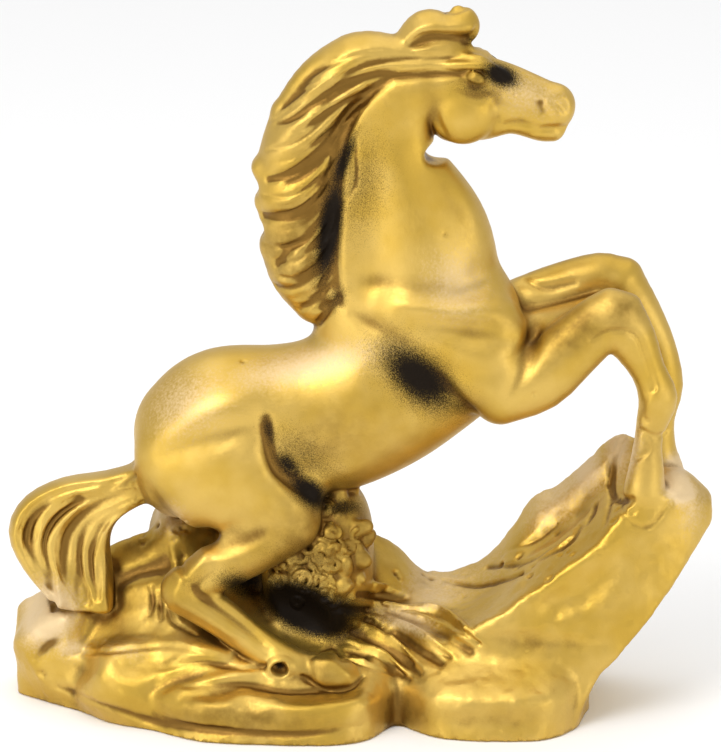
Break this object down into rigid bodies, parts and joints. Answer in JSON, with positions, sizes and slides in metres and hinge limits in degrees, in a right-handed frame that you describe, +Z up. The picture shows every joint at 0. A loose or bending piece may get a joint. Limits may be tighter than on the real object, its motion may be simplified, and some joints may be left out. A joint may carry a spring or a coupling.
{
  "type": "horse statuette",
  "caption": "Gold-painted cast statuette of a rearing horse on a rocky plinth, for display on a shelf or table.",
  "frame": {"origin": "middle of the statuette's bounding box, on the underside of the plinth", "axes": "+X the way the horse faces, +Y away from the viewer, +Z up"},
  "size_m": [0.1064, 0.0422, 0.1072],
  "materials": {
    "gold_paint": "satin gold paint with airbrushed black shading, on cast resin"
  },
  "bodies": {
    "root": {"horse_statuette": "gold_paint"}
  },
  "joints": []
}
